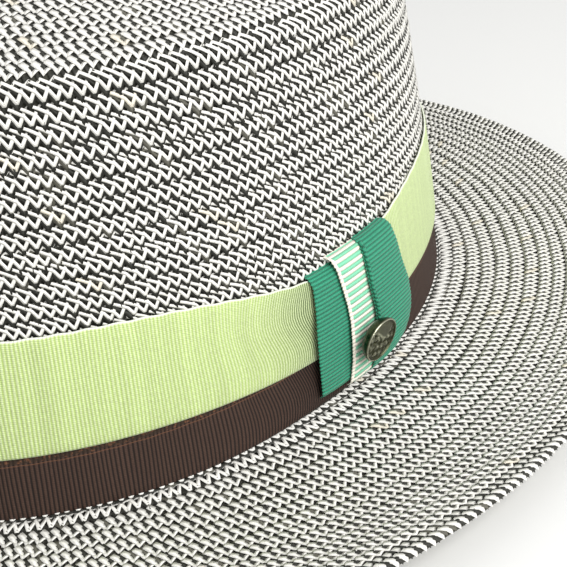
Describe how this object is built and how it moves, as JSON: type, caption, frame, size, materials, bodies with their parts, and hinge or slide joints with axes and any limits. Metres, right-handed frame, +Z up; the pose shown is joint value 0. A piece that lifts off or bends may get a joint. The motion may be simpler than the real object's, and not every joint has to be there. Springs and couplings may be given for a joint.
{
  "type": "pork pie hat",
  "caption": "Pork pie hat sewn from white and charcoal braid, with an oval crown dented round its top, a gently rising brim, overlapping ribbons, and a keeper of stepped straps with a button",
  "frame": {"origin": "On the table, under the middle of the brim, which is also under the middle of the crown", "axes": "+Z up out of the crown; -Y is the front of the hat and +Y the back; +X is the wearer's left, where the keeper is"},
  "size_m": [0.2754, 0.3134, 0.0982],
  "materials": {
    "crown_braid": "white and charcoal paper yarn braid, sewn in rows",
    "brim_braid": "white and charcoal paper yarn braid, sewn in rows",
    "under_ribbon": "dark brown grosgrain",
    "over_ribbon": "pale lime grosgrain",
    "front_strap": "teal ribbed ribbon",
    "striped_strap": "cream and mint striped ribbed ribbon",
    "rear_strap": "teal ribbed ribbon",
    "button": "dark bronze, polished rim"
  },
  "bodies": {
    "root": {"crown": "crown_braid", "brim": "brim_braid", "under_ribbon": "under_ribbon", "over_ribbon": "over_ribbon", "front_strap": "front_strap", "striped_strap": "striped_strap", "rear_strap": "rear_strap", "button": "button"}
  },
  "joints": []
}
